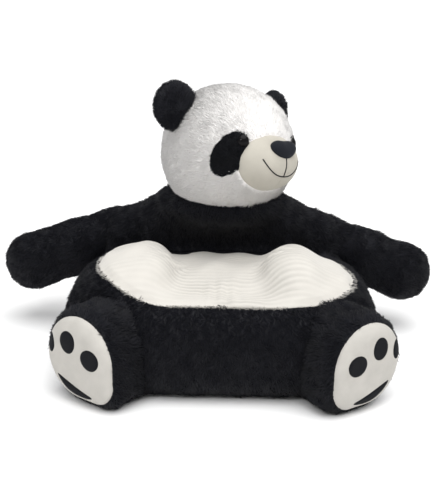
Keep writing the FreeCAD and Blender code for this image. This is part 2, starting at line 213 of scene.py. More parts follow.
def woven_finish(name, dark, light, threads=900.0):
    """Plain weave: two sets of threads, over and under."""
    material, tree, shader = finish_of(name, 0.8, gleam=0.3)
    spot = place(tree)
    waves = [add_node(tree, "ShaderNodeTexWave", {"bands_direction": way},
                      {"Vector": spot, "Scale": threads / 6.28, "Distortion": 0.0})
             for way in ("X", "Y")]
    weave = waves[0] * waves[1]
    worn = speckle(tree, 30.0, 3.0)
    shade = (weave * 0.6 + worn * 0.4).clamp()
    feed(tree, shade.mix((*dark, 1.0), (*light, 1.0)), shader, "Base Color")
    feed(tree, 0.7 + worn * 0.2, shader, "Roughness")
    feed(tree, bump(tree, weave, 0.3 * MM, 0.6), shader, "Normal")
    return material


def plastic_finish(name, dark, light, roughness, gleam=0.5):
    """Moulded plastic with the faint haze of handling."""
    material, tree, shader = finish_of(name, roughness, gleam=gleam)
    haze = speckle(tree, 260.0, 3.0)
    feed(tree, haze.mix((*dark, 1.0), (*light, 1.0)), shader, "Base Color")
    feed(tree, haze * 0.06 + roughness, shader, "Roughness")
    feed(tree, bump(tree, haze, 0.05 * MM, 0.3), shader, "Normal")
    return material


FINISH = {
    # pile colours: the first is painted at the roots as shade, the second at the tips as highlight
    "black_plush": pile_finish("black pile", (0.0014, 0.0016, 0.0033),
                               (0.0052, 0.0058, 0.0118), 0.02),
    "white_plush": pile_finish("white pile", (0.82, 0.80, 0.785), (0.90, 0.885, 0.87), 0.05, 0.08),
    "ribbed_plush": ribbed_finish("ribbed seat pile"),
    "cream_velvet": velvet_finish("muzzle velvet", (0.41, 0.385, 0.335),
                                  (0.50, 0.475, 0.415), 0.12),
    "sole_velvet": velvet_finish("sole velvet", (0.42, 0.405, 0.375), (0.52, 0.50, 0.465), 0.12),
    "black_velvet": velvet_finish("black velvet", (0.0020, 0.0024, 0.0036),
                                  (0.0050, 0.0056, 0.0085), 0.015),
    "nose_plush": velvet_finish("nose velvet", (0.005, 0.006, 0.009), (0.013, 0.015, 0.022), 0.06),
    "black_thread": velvet_finish("embroidery thread", (0.006, 0.006, 0.008),
                                  (0.022, 0.022, 0.027), 0.1, 2600.0),
    "black_cloth": woven_finish("underside cloth", (0.008, 0.008, 0.010), (0.03, 0.03, 0.036)),
    "black_plastic": plastic_finish("eye plastic", (0.004, 0.004, 0.005), (0.008, 0.007, 0.007),
                                    0.05, 0.10),
    "washer_plastic": plastic_finish("washer plastic", (0.72, 0.72, 0.72),
                                     (0.85, 0.85, 0.85), 0.45),
}
print("finishes:", ", ".join(FINISH))

# %% [markdown]
# ## Soft forms
# A stuffed cover has no corners: each part swells into the next. Such a shape is a sum of
# simple distances, joined by a minimum that melts them together. Where the distance is
# zero there is cloth, and a lattice finds that surface as a net of even four-sided faces.

# %% Distances that melt together


def ball(points, centre, radii):
    """Distance to an egg shape, good near its surface."""
    away = points - centre
    near = np.linalg.norm(away / radii, axis=1)
    steep = np.linalg.norm(away / np.square(radii), axis=1)
    return near * (near - 1.0) / np.maximum(steep, 1e-9)


def rim(sides, radius):
    """Distance to a rounded corner from the distances to its sides."""
    stack = np.stack(sides, 1) + radius
    return (np.linalg.norm(np.maximum(stack, 0.0), axis=1)
            + np.minimum(stack.max(axis=1), 0.0) - radius)


def plate(points, half, corner, middle=(0.0, 0.0)):
    """Distance in plan to a rectangle with round corners."""
    away = np.abs(points[:, :2] - middle) - half
    return rim((away[:, 0], away[:, 1]), corner)


def puck(points, half, corner, edge, tall):
    """Distance to a slab that stands on the floor, round in plan and at its rims."""
    return rim((plate(points, half, corner), np.abs(points[:, 2] - tall / 2) - tall / 2), edge)


def limb(points, start, end, thick, thin):
    """Distance to a tapered arm with round ends."""
    line = np.array(end) - start
    share = np.clip((points - start) @ line / (line @ line), 0.0, 1.0)
    return np.linalg.norm(points - start - share[:, None] * line, axis=1) - (
        thick + (thin - thick) * share)


def melt(first, second, reach):
    """The smaller distance, blended where both are within reach of each other."""
    share = np.clip(0.5 + 0.5 * (second - first) / reach, 0.0, 1.0)
    return second + (first - second) * share - reach * share * (1.0 - share)


def both(first, second, reach=0.0005):
    """The larger distance, with the corner between them softened."""
    return -melt(-first, -second, reach)


def slope(field, points, step=0.5 * MM):
    """The direction in which a distance grows: the way the cloth faces."""
    rise = np.stack([field(points + move) - field(points - move) for move in np.eye(3) * step], 1)
    return rise / np.maximum(np.linalg.norm(rise, axis=1), 1e-12)[:, None]


def turned(yaw, pitch, roll):
    """A turn by roll, then pitch, then yaw, in degrees, as a 3 by 3 array."""
    return np.array(Matrix.Rotation(math.radians(yaw), 3, "Z")
                    @ Matrix.Rotation(math.radians(pitch), 3, "Y")
                    @ Matrix.Rotation(math.radians(roll), 3, "X"))


# %% A net over a form


def net_of(field, low, high, step):
    """Four-sided faces over the zero surface of a field, one point in each crossed cell."""
    count = np.ceil((np.array(high) - low) / step).astype(int) + 1
    axes = [low[i] + step * np.arange(count[i]) for i in range(3)]
    lattice = np.stack(np.meshgrid(*axes, indexing="ij"), -1)
    value = field(lattice.reshape(-1, 3)).reshape(count)
    inside = value < 0.0
    corners = [np.array((i, j, k)) for i in (0, 1) for j in (0, 1) for k in (0, 1)]
    held = sum(inside[c[0]:count[0] - 1 + c[0], c[1]:count[1] - 1 + c[1],
                      c[2]:count[2] - 1 + c[2]].astype(int) for c in corners)
    crossed = (held > 0) & (held < 8)
    cells = np.argwhere(crossed)
    number = np.full(crossed.shape, -1)
    number[crossed] = np.arange(len(cells))
    total, hits = np.zeros((len(cells), 3)), np.zeros(len(cells))
    for a in corners:
        for b in corners:
            if (b - a).min() < 0 or (b - a).sum() != 1:
                continue
            start, end = value[tuple((cells + a).T)], value[tuple((cells + b).T)]
            cross = (start < 0.0) != (end < 0.0)
            share = np.where(cross, start / np.where(cross, start - end, 1.0), 0.0)
            total += (cells + a + share[:, None] * (b - a)) * cross[:, None]
            hits += cross
    points = np.array(low) + step * total / hits[:, None]
    faces = np.concatenate([quads(inside, number, axis) for axis in range(3)])
    return settled(field, points), faces


def quads(inside, number, axis):
    """The faces that stand across the lattice edges of one direction."""
    ahead = np.roll(inside, -1, axis)
    cut = inside != ahead
    cut[tuple(slice(None) if i != axis else -1 for i in range(3))] = False
    at = np.argwhere(cut)
    u, v = np.eye(3, dtype=int)[(axis + 1) % 3], np.eye(3, dtype=int)[(axis + 2) % 3]
    at = at[((at - u - v)[:, [(axis + 1) % 3, (axis + 2) % 3]] >= 0).all(axis=1)]
    at = at[(at < np.array(number.shape)).all(axis=1)]
    ring = [number[tuple((at - move).T)] for move in (0 * u, u, u + v, v)]
    faces = np.stack(ring, 1)
    outward = inside[tuple(at.T)]
    faces[~outward] = faces[~outward][:, ::-1]
    return faces[(faces >= 0).all(axis=1)]


def settled(field, points, rounds=3):
    """Points moved along the slope until they lie on the zero surface."""
    for _ in range(rounds):
        points = points - field(points)[:, None] * slope(field, points)
    return points


def noise(points, size, seed):
    """Smooth wandering values from about -1 to 1: a few waves in seeded directions."""
    draw = np.random.default_rng(seed)
    total = np.zeros(len(points))
    for _ in range(7):
        way = draw.normal(size=3)
        way *= draw.uniform(0.6, 1.5) / np.linalg.norm(way)
        total += np.sin(points @ way * (2 * np.pi / size) + draw.uniform(0, 2 * np.pi))
    return total / 3.5


print("forms and nets are ready")

# %% [markdown]
# ## From numbers to a piece
# A piece is a mesh, a finish, the body that it moves with and the frame's nodes that it
# stands for. A map for baking is laid at the same time: skin in its lower half, by angle
# and height, and locks in its upper half, by their root and how far along they are.

# %% Pieces


def mesh_of(name, points, *sets):
    """A mesh from points and sets of faces, each set with its own number of corners."""
    mesh = bpy.data.meshes.new(name)
    sizes = np.concatenate([np.full(len(faces), faces.shape[1]) for faces in sets])
    corners = np.concatenate([faces.ravel() for faces in sets])
    mesh.vertices.add(len(points))
    mesh.vertices.foreach_set("co", np.asarray(points, np.float32).ravel())
    mesh.loops.add(len(corners))
    mesh.loops.foreach_set("vertex_index", corners.astype(np.int32))
    mesh.polygons.add(len(sizes))
    mesh.polygons.foreach_set("loop_start", (np.cumsum(sizes) - sizes).astype(np.int32))
    mesh.update(calc_edges=True)
    mesh.validate()
    return mesh


def piece(name, points, sets, slot, body, nodes=(), values=None, flat_map=None):
    """A mesh object with its finish, its body and the nodes that it replaces."""
    mesh = mesh_of(name, points, *sets)
    for title, numbers in (values or {}).items():
        mesh.attributes.new(title, "FLOAT", "POINT").data.foreach_set(
            "value", np.asarray(numbers, np.float32))
    if flat_map is not None:
        corner = np.empty(len(mesh.loops), np.int32)
        mesh.loops.foreach_get("vertex_index", corner)
        mesh.uv_layers.new(name="OFBake").uv.foreach_set(
            "vector", flat_map[corner].astype(np.float32).ravel())
    mesh.polygons.foreach_set("use_smooth", np.ones(len(mesh.polygons), bool))
    mesh.materials.append(FINISH[slot])
    made = bpy.data.objects.new(name, mesh)
    bpy.context.scene.collection.objects.link(made)
    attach(made, body)
    if nodes:
        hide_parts(*nodes)
    print("%s: %d points, %d faces" % (name, len(points), len(mesh.polygons)))
    return made


def around(points, centre):
    """Angle round the upright axis and height, each from 0 to 1."""
    away = points - centre
    turn = np.arctan2(away[:, 1], away[:, 0]) / (2 * np.pi) + 0.5
    rise = (away[:, 2] - away[:, 2].min()) / max(np.ptp(away[:, 2]), 1e-9)
    return np.stack([turn, rise], 1)


# %% [markdown]
# ## Pile
# Particle hair would look right in a picture but leaves no mesh behind. Each lock here is
# a slim three-sided spike whose root is sunk in the skin. Locks lie along a flow, lean
# together in clumps, and are so many that the eye sees soft pile and not single spikes.

# %% Locks


def tangent(ways, normals):
    """Directions with their part along the normals taken out, at unit length."""
    flat = ways - (ways * normals).sum(axis=1)[:, None] * normals
    return flat / np.maximum(np.linalg.norm(flat, axis=1), 1e-9)[:, None]


def sown(points, faces, spacing, draw):
    """Random places spread evenly over four-sided faces, one for each spacing squared."""
    a, b, c, d = (points[faces[:, i]] for i in range(4))
    area = np.linalg.norm(np.cross(c - a, d - b), axis=1) / 2
    total = np.cumsum(area)
    count = int(total[-1] / spacing ** 2)
    at = np.searchsorted(total, (np.arange(count) + draw.uniform(size=count)) / count * total[-1])
    at = np.minimum(at, len(faces) - 1)
    u, v = draw.uniform(size=(2, count, 1))
    return (a[at] * (1 - u) + b[at] * u) * (1 - v) + (d[at] * (1 - u) + c[at] * u) * v


def combed(points, normals, flow, lift, clump, swirl, seed):
    """Where each lock points: along the flow, pulled together in clumps, a little raised."""
    draw = np.random.default_rng(seed)
    pull = np.stack([noise(points, clump, seed + i) for i in (1, 2, 3)], 1)
    stray = draw.normal(scale=0.25, size=points.shape)
    lay = tangent(tangent(flow, normals) + swirl * pull + stray, normals)
    stand = lift + 0.2 * swirl * noise(points, 1.7 * clump, seed + 4)
    stand = np.clip(stand + draw.normal(scale=0.06, size=len(points)), 0.1, 1.0)[:, None]
    return normals * stand + lay * np.sqrt(1.0 - stand * stand)


FLOOR_GAP = 0.3 * MM  # no lock reaches below this height


def locks(roots, ways, length, width):
    """Three-sided spikes: their points, their faces and how far along each point is."""
    side = np.cross(ways, (0.31, 0.17, 0.93))
    side /= np.linalg.norm(side, axis=1)[:, None]
    other = np.cross(ways, side)
    sunk = roots - ways * (0.2 * length)[:, None]
    rows = [sunk + (side * math.cos(angle) + other * math.sin(angle)) * (0.5 * width)[:, None]
            for angle in (0.0, 2 * np.pi / 3, 4 * np.pi / 3)]
    rows.append(roots + ways * length[:, None])
    first = 4 * np.arange(len(roots))[:, None]
    faces = np.concatenate([first + corners for corners in ((0, 1, 3), (1, 2, 3), (2, 0, 3))])
    spikes = np.stack(rows, 1).reshape(-1, 3)
    spikes[:, 2] = np.maximum(spikes[:, 2], FLOOR_GAP)  # pile presses flat on the floor
    return spikes, faces, np.tile((0.0, 0.0, 0.0, 1.0), len(roots))


def furry(name, form, box, slot, body, nodes, flow, bare=None, seed=1, step=5 * MM,
          spacing=2.3 * MM, length=9 * MM, width=2.4 * MM, lift=0.42, clump=0.020, swirl=0.8):
    """A closed skin with locks of pile all over, except where it is bare."""
    points, faces = net_of(form, *box, step)
    draw = np.random.default_rng(seed)
    roots = settled(form, sown(points, faces, spacing, draw), 1)
    facing = slope(form, roots)
    if bare is not None:
        grows = ~bare(roots, facing)
        roots, facing = roots[grows], facing[grows]
    ways = combed(roots, facing, flow(roots), lift, clump, swirl, seed)
    tall = length * draw.uniform(0.7, 1.2, len(roots)) * (1 + 0.2 * noise(roots, 0.03, seed + 5))
    wide = width * draw.uniform(0.7, 1.3, len(roots))
    hair, spikes, along = locks(roots, ways, tall, wide)
    centre = points.mean(axis=0)
    hair_map = np.repeat(around(roots, centre)[:, :1], 4, axis=0)
    hair_map = np.hstack([hair_map, 0.5 + 0.5 * along[:, None]])
    # the finish reads `tip` and paints each lock darker at its root as shade and lighter at its tip
    values = {"tip": np.concatenate([np.zeros(len(points)), along]),
              "lot": np.concatenate([np.full(len(points), 0.5),
                                     np.repeat(draw.uniform(0, 1, len(roots)), 4)])}
    print("%s: %d locks" % (name, len(roots)))
    return piece(name, np.concatenate([points, hair]), (faces, spikes + len(points)), slot, body,
                 nodes, values, np.concatenate([around(points, centre) * (1.0, 0.5), hair_map]))


# %% [markdown]
# ## Seat and back
# The real cover is one bag: a low drum with a swelling at each side for the armrests, and
# a pillow behind with shoulders. Modelled as one melted form, its hollows come out soft.
# It is then parted where the seat meets the back, because the frame keeps the two apart.

# %% The places it is measured from
base_low, base_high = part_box("base_cover")
back_low, back_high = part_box("back_cover")
panel_low, panel_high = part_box("seat_panel")
NECK = joint["head_turn"]
SHOULDER = {side: joint[side + "_arm_raise"] for side, _ in SIDES}
BASE_HALF = np.array(((base_high[0] - base_low[0]) / 2, (base_high[1] - base_low[1]) / 2))
BACK_MIDDLE = (back_low[1] + back_high[1]) / 2
print("the seat's half width and depth:", BASE_HALF)

# %% The form of the bag
# Loose filling settles unevenly: each armrest has a steep inner and a gentle outer swelling,
# and between them the seat is a little crowned.
LOBES = (((0.120, -0.034, 0.114), (0.066, 0.120, 0.089)),
         ((0.172, -0.036, 0.101), (0.064, 0.118, 0.071)),
         ((-0.127, -0.034, 0.115), (0.060, 0.120, 0.086)),
         ((-0.165, -0.036, 0.110), (0.064, 0.118, 0.081)),
         ((0.000, 0.000, 0.088), (0.170, 0.150, 0.076)))

DROOP = {"left": 0.020, "right": 0.016}  # how far each shoulder sinks under its arm


def seat_form(points):
    drum = puck(points, BASE_HALF, 0.160, 0.058, 0.150)
    for centre, radii in LOBES:
        drum = melt(drum, ball(points, centre, radii), 0.026)
    return drum


def back_form(points):
    away = points - (0.0, BACK_MIDDLE, 0.146)
    pillow = rim([np.abs(away[:, i]) - half for i, half in enumerate((0.150, 0.056, 0.098))],
                 0.048)
    for side, sign in SIDES:
        root = SHOULDER[side] + (-0.018 * sign, -0.006, -DROOP[side])
        pillow = melt(pillow, ball(points, root, (0.060, 0.050, 0.044)), 0.030)
        inner = (0.085 * sign, BACK_MIDDLE, 0.206)
        outer = (0.165 * sign, BACK_MIDDLE + 0.012, 0.184)
        pillow = melt(pillow, limb(points, inner, outer, 0.036, 0.034), 0.030)
    collar = ball(points, NECK + (-0.010, -0.018, -0.024), (0.104, 0.080, 0.042))
    return melt(pillow, collar, 0.045)


def bag_form(points):
    return melt(seat_form(points), back_form(points), 0.030)


# %% The outline of the seat panel
PANEL_CORNER = 0.121
PANEL_MIDDLE = np.array((panel_high + panel_low).xy / 2) + (0.009, 0.0)
PANEL_HALF = np.array((panel_high - panel_low).xy / 2)


def panel_edge(points):
    """Below zero inside the outline of the ribbed seat panel, seen from above."""
    edge = plate(points, PANEL_HALF - (0.005, 0.0), PANEL_CORNER, PANEL_MIDDLE)
    notch = 0.008 * np.exp(-np.square(points[:, 0] / 0.014)) * (points[:, 1] < 0.0)
    return edge + notch + 0.0015 * noise(points * (1, 1, 0), 0.11, 5)


print("the panel's outline is", 2 * PANEL_HALF, "m before its corners are rounded")

# %% The black covers


def bag_flow(points):
    """Pile lies down the sides and away from the middle of the seat."""
    return points * (2.5, 2.5, 0.0) + (0.0, 0.0, -0.8)


def under_panel(points, facing):
    return (panel_edge(points) < 0.0) & (points[:, 2] > 0.09) & (facing[:, 2] > 0.0)


def base_form(points):
    return both(bag_form(points), seat_form(points) - back_form(points))


def rear_form(points):
    return both(bag_form(points), back_form(points) - seat_form(points))


def base_bare(points, facing):
    return under_panel(points, facing) | rear_bare(points, facing)


def rear_bare(points, facing):
    return (points[:, 2] < 2 * MM) | (bag_form(points) < -1.0 * MM)


REACH = Vector((0.02, 0.02, 0.012))
furry("base_bag", base_form, (base_low - REACH, base_high + REACH), "black_plush", "torso",
      ("base_cover", "seat_stuffing"), bag_flow, base_bare, seed=11, spacing=2.45 * MM)
BACK_ROOM = (Vector((-0.27, -0.01, 0.04)), Vector((0.27, 0.225, 0.30)))
furry("back_bag", rear_form, BACK_ROOM, "black_plush", "torso",
      ("back_cover", "back_stuffing", "neck_stuffing"), bag_flow, rear_bare, seed=12)

# %% [markdown]
# ## Ribbed seat panel
# The panel is one piece of pale ribbed plush. Its ribs run from side to side, swerve where
# the filling pushes, and pucker on the armrests. The rows of this grid follow the ribs,
# so each rib gets the same number of rows wherever it goes.

# %% Rows over the seat
RIB = 10.5 * MM
ROWS_PER_RIB = 8


def lowered(points, high=0.235, rounds=40):
    """Each point dropped from above onto the bag."""
    found = np.array(points)
    found[:, 2] = high
    for _ in range(rounds):
        found[:, 2] -= 0.8 * seat_form(found)
    return found


def panel_grid(columns=170):
    """Rows of even spacing along the middle, each as wide as the outline there."""
    line = np.zeros((600, 3))
    line[:, 1] = np.linspace(-PANEL_HALF[1], PANEL_HALF[1], 600) + PANEL_MIDDLE[1]
    line = lowered(line)
    run = np.concatenate([[0.0], np.cumsum(np.linalg.norm(np.diff(line, axis=0), axis=1))])
    rows = int(run[-1] / RIB * ROWS_PER_RIB)
    ahead = np.interp(np.linspace(0, run[-1], rows), run, line[:, 1]) - PANEL_MIDDLE[1]
    inner = PANEL_HALF - PANEL_CORNER
    past = np.clip(np.abs(ahead) - inner[1], 0.0, PANEL_CORNER)
    reach = inner[0] + np.sqrt(PANEL_CORNER ** 2 - past ** 2)
    across = np.linspace(-1, 1, columns)
    grid = np.stack([reach[:, None] * across, np.repeat(ahead[:, None], columns, 1),
                     np.zeros((rows, columns))], -1)
    return grid.reshape(-1, 3) + (*PANEL_MIDDLE, 0.0), rows, columns


flat, rows, columns = panel_grid()
top = lowered(flat)
facing = slope(seat_form, top)


# %% Ribs, swerves and puckers
def rib_wave(points, row_number):
    """Height of the ribs from 0 in a groove to 1 on a crown."""
    swerve = 0.9 * noise(points * (1, 1.6, 0), 0.16, 21) + 0.25 * noise(points, 0.05, 22)
    swerve += 1.2 * np.exp(-np.square(points[:, 0] / 0.05)) * (points[:, 1] > 0)
    phase = row_number / ROWS_PER_RIB + 0.45 * swerve
    return 0.5 - 0.5 * np.cos(2 * np.pi * phase)


def pucker(points, x, y, angle, wide, long):
    """Short folds side by side, fading away from their middle."""
    turn = math.radians(angle)
    away = points[:, :2] - (x, y)
    run = away[:, 0] * math.cos(turn) + away[:, 1] * math.sin(turn)
    side = away[:, 1] * math.cos(turn) - away[:, 0] * math.sin(turn)
    fade = np.exp(-np.square(run / long) - np.square(side / (1.6 * wide)))
    return np.cos(2 * np.pi * side / wide) * fade


row_number = np.repeat(np.arange(rows), columns)
crown = rib_wave(top, row_number)
folds = (pucker(top, -0.085, -0.030, -40, 0.014, 0.026)
         + pucker(top, 0.090, -0.020, 35, 0.016, 0.024)
         + 0.6 * pucker(top, -0.150, 0.020, 15, 0.022, 0.03)
         + 0.8 * pucker(top, 0.0, -0.120, 90, 0.020, 0.05))
edge = np.clip(-panel_edge(top) / 0.010, 0.0, 1.0)
out = np.clip((np.abs(top[:, 0]) - 0.08) / 0.06, 0.0, 1.0) * (top[:, 1] > -0.13)
calm = np.clip(0.45 + 0.6 * noise(top, 0.10, 25), 0.12, 1.0) * (1.0 - 0.72 * out)
# calmed ribs are lower and also get less painted shade in their grooves
crown = 1.0 - calm * (1.0 - crown)
lift = 2.5 * MM + edge * (2.3 * MM * crown ** 0.7 + 2.0 * MM * folds
                          + 1.6 * MM * noise(top, 0.07, 23)) - 1.0 * MM * (1.0 - edge)
upper = top + facing * lift[:, None]
lower = top - facing * 7.0 * MM
cell = (np.arange(rows - 1)[:, None] * columns + np.arange(columns - 1)).ravel()
over = np.stack([cell, cell + 1, cell + columns + 1, cell + columns], 1)
loop = np.concatenate([np.arange(columns), np.arange(1, rows) * columns + columns - 1,
                       (rows - 1) * columns + np.arange(columns - 2, -1, -1),
                       np.arange(rows - 2, 0, -1) * columns])
count = rows * columns
wall = np.stack([loop, loop + count, np.roll(loop, -1) + count, np.roll(loop, -1)], 1)

print("ribs:", rows // ROWS_PER_RIB)

# %% Pile of the panel that pokes out over its seam
draw = np.random.default_rng(27)
near_edge = loop[draw.integers(0, len(loop), 2600)]
inward = draw.uniform(0.0, 2.2 * MM, (len(near_edge), 1))
away = tangent(top[near_edge] - top.mean(axis=0), facing[near_edge])
tufts = top[near_edge] - away * inward + draw.normal(scale=0.8 * MM, size=(len(near_edge), 3))
tufts += facing[near_edge] * 0.5 * MM
ways = away + facing[near_edge] * 0.55 + draw.normal(scale=0.35, size=tufts.shape)
ways /= np.linalg.norm(ways, axis=1)[:, None]
hair, spikes, along = locks(tufts, ways, draw.uniform(4 * MM, 7 * MM, len(tufts)),
                            draw.uniform(1.6 * MM, 2.6 * MM, len(tufts)))
shifted = top[:, :2] + 0.25
tuft_map = np.repeat(shifted[near_edge] * (0.2, 0.1) + (0.5, 0.9), 4, axis=0)
panel_map = np.concatenate([shifted * (2.0, 1.8), shifted * (0.2, 0.1) + (0.0, 0.9), tuft_map])
# the rib crowns go to the finish as `tip`, which paints shade into the grooves; the seam tufts are
# painted lighter towards their tips
piece("ribbed_panel", np.concatenate([upper, lower, hair]),
      (np.concatenate([over, over[:, ::-1] + count, wall]), spikes + 2 * count),
      "ribbed_plush", "torso", ("seat_panel",),
      {"tip": np.concatenate([crown, 0 * crown, 0.6 + 0.4 * along])}, panel_map)
print("tufts on the seam:", len(tufts))

# %% [markdown]
# ## Head
# The head is a round bag of white pile with full cheeks. The muzzle is a second, smooth bag
# sewn to its front. Everything on the face is placed from the head's own axes: it looks
# along its own -Y, and the sewing turned it to one side and tilted it a little.

# %% The head's own axes
head_low, head_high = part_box("head_cover")
FACE = turned(42, 9, 0)
SKULL = np.array((0.117, 0.113, 0.111))
rise = np.linalg.norm(FACE[2] * SKULL)
HEAD = np.array(((head_low[0] + head_high[0]) / 2, (head_low[1] + head_high[1]) / 2,
                 head_high[2] - rise))
MUZZLE = np.array((0.0, -0.088, -0.009))
CHIN = head_low[2] - 4 * MM


def on_face(points):
    """Points in the head's own axes."""
    return (points - HEAD) @ FACE


def from_face(points):
    return points @ FACE.T + HEAD


def head_form(points):
    own = on_face(points)
    skull = ball(own, (0, 0, 0), SKULL - 2.5 * MM)
    cheeks = ball(own, (0.0, -0.002, -0.026), (0.111, 0.102, 0.090))
    return both(melt(skull, cheeks, 0.02), CHIN - points[:, 2], 0.02)


def muzzle_form(points):
    own = on_face(points)
    egg = ball(own, MUZZLE, (0.064, 0.056, 0.049))
    seam = 1.3 * MM * np.exp(-np.square(own[:, 0] / (1.6 * MM))) * (own[:, 2] < MUZZLE[2] - 0.02)
    return egg + seam + 0.7 * MM * noise(points, 0.045, 31)


PATCH = np.array((0.042, 0.028))
PATCH_DROOP = np.array((0.0, 0.0, -0.007))


def egg_outline(spread, slant, halves):
    """Distance to an oval round a direction from the head, slanted in its own plane."""
    axes = FACE @ turned(*spread) @ turned(slant, 0, 0)
    centre = (PATCH_DROOP @ axes)[:2]

    def outline(points):
        own = (points - HEAD) @ axes
        pair = own[:, :2] - centre
        near = np.linalg.norm(pair / halves, axis=1)
        steep = np.linalg.norm(pair / np.square(halves), axis=1)
        ahead = np.where(own[:, 2] > 0, 0.0, 0.1)
        return near * (near - 1.0) / np.maximum(steep, 1e-9) + ahead
    return outline, HEAD + axes @ np.array((*centre, 0.113))


PATCHES = {side: egg_outline((42 * sign, 0, 86), -62 * sign, PATCH) for side, sign in SIDES}


def head_flow(points):
    """Pile lies back from the nose on all sides, and a little downwards."""
    own = points - from_face(MUZZLE[None])[0]
    return own / np.linalg.norm(own, axis=1)[:, None] + (0.0, 0.0, -0.1)


def head_bare(points, facing):
    hidden = muzzle_form(points) < 0.5 * MM
    for outline, _ in PATCHES.values():
        hidden |= outline(points) < -2.5 * MM
    return hidden


SPREAD = Vector((0.014, 0.014, 0.014))
furry("head_bag", head_form, (head_low - SPREAD - Vector((0, 0, 0.03)), head_high + SPREAD),
      "white_plush", "head", ("head_cover", "head_stuffing"), head_flow, head_bare, seed=41,
      step=4.5 * MM, spacing=1.9 * MM, length=9 * MM, width=2.2 * MM, lift=0.45,
      clump=0.024, swirl=0.35)

# %% Smooth bags and patches


def smooth_bag(name, form, box, step, slot, body, nodes):
    points, faces = net_of(form, *box, step)
    return piece(name, points, (faces,), slot, body, nodes, {"tip": np.full(len(points), 0.5)},
                 None)


def box_round(centre, reach):
    return Vector(centre) - Vector([reach] * 3), Vector(centre) + Vector([reach] * 3)


def patch_form(form, outline, lift, sink):
    """A puffed patch on a form: its outline rounds over at the lift."""
    def field(points):
        base = form(points)
        return both(both(base - lift, outline(points), 2.5 * lift), -base - sink)
    return field


smooth_bag("muzzle_bag", muzzle_form, box_round(from_face(MUZZLE), 0.066), 2.6 * MM,
           "cream_velvet", "head", ("muzzle_cover", "muzzle_stuffing"))


def nose_form(points):
    own = on_face(points) - (0.0, -0.131, 0.018)
    form = melt(ball(own, (-0.011, 0.001, 0.003), (0.015, 0.014, 0.0125)),
                ball(own, (0.011, 0.001, 0.003), (0.015, 0.014, 0.0125)), 0.010)
    return melt(form, ball(own, (0, 0.001, -0.005), (0.015, 0.013, 0.011)), 0.012)


smooth_bag("nose_pad", nose_form, box_round(from_face(np.array((0, -0.131, 0.019))), 0.034),
           1.5 * MM, "nose_plush", "head", ("nose",))
print("the muzzle and the nose are on the face")

# %% [markdown]
# ## Eyes
# Each eye is a polished dome in an oval of black pile that slants down and outwards. The
# domes are round in the frame already, so they stay and only get their polish.

# %% Eye patches and domes
for side, sign in SIDES:
    outline, middle = PATCHES[side]
    form = patch_form(head_form, outline, 2.5 * MM, 5 * MM)

    def patch_bare(points, facing, form=form):
        return (head_form(points) < 0.5 * MM) | (muzzle_form(points) < -1 * MM)

    furry(side + "_patch", form, box_round(middle, 0.052), "black_velvet", "head",
          (side + "_eye_patch",), head_flow, patch_bare, seed=51, step=2.5 * MM,
          spacing=1.6 * MM, length=5.5 * MM, width=1.8 * MM, lift=0.4, clump=0.014)
    for words, slot in (("_eye", "black_plastic"), ("_eye_washer", "washer_plastic")):
        node = frame["nodes"][side + words]
        node.data.materials.clear()
        node.data.materials.append(FINISH[slot])

# %% [markdown]
# ## Embroidered mouth
# The mouth is satin stitch: short threads laid side by side across a curved line. Each
# stitch is a small arched bar that dips into the velvet at both ends.

# %% The stitches


def mouth_line(spacing=0.8 * MM):
    """Points of the smile and of the line up to the nose, with the way each one runs."""
    rise, radius, end = 0.021, 0.046, 0.001
    swing = math.acos((rise - end) / radius)
    steps = int(2 * swing * radius / spacing)
    angles = np.linspace(-swing, swing, steps)
    smile = np.stack([radius * np.sin(angles), rise - radius * np.cos(angles)], 1)
    way = np.stack([np.cos(angles), np.sin(angles)], 1)
    low, high = rise - radius, 0.010
    up = np.arange(low, high, spacing)
    line = np.stack([0 * up, up], 1)
    return np.concatenate([smile, line]), np.concatenate([way, np.tile((0.0, 1.0), (len(up), 1))])


def onto_muzzle(across, up):
    """Points of the face's plane pushed back until they lie on the muzzle."""
    own = np.stack([across, np.full(len(across), -0.160), up], 1)
    for _ in range(40):
        own[:, 1] += 0.8 * muzzle_form(from_face(own))
    return from_face(own)


spots, run = mouth_line()
aside = np.stack([-run[:, 1], run[:, 0]], 1)
arch = ((-0.85, -0.3), (-0.45, 0.6), (0.45, 0.6), (0.85, -0.3))
half, thread = 1.2 * MM, 0.45 * MM
bars = []
for share, tall in arch:
    middle = spots + aside * share * half
    on = onto_muzzle(middle[:, 0], middle[:, 1])
    out = slope(muzzle_form, on)
    ahead = onto_muzzle(*(middle + run * thread).T) - on
    for turn_by in range(4):
        angle = turn_by * np.pi / 2
        bars.append(on + out * (tall * MM + thread * math.sin(angle)) + ahead * math.cos(angle))
bars = np.stack(bars, 1)
first = 16 * np.arange(len(spots))[:, None]
tube = [first + 4 * ring + np.array((i, (i + 1) % 4, 4 + (i + 1) % 4, 4 + i))
        for ring in range(3) for i in range(4)]
ends = [first + (3, 2, 1, 0), first + (12, 13, 14, 15)]
piece("mouth_stitching", bars.reshape(-1, 3), (np.concatenate(tube + ends),),
      "black_thread", "head", ("mouth_stitches",))
print("stitches:", len(spots))

# %% [markdown]
# ## Ears
# An ear is a flat round bag of black pile, dished at the front, whose lower edge is sewn
# into the head. It moves on its own body, so its root reaches under the head's pile.

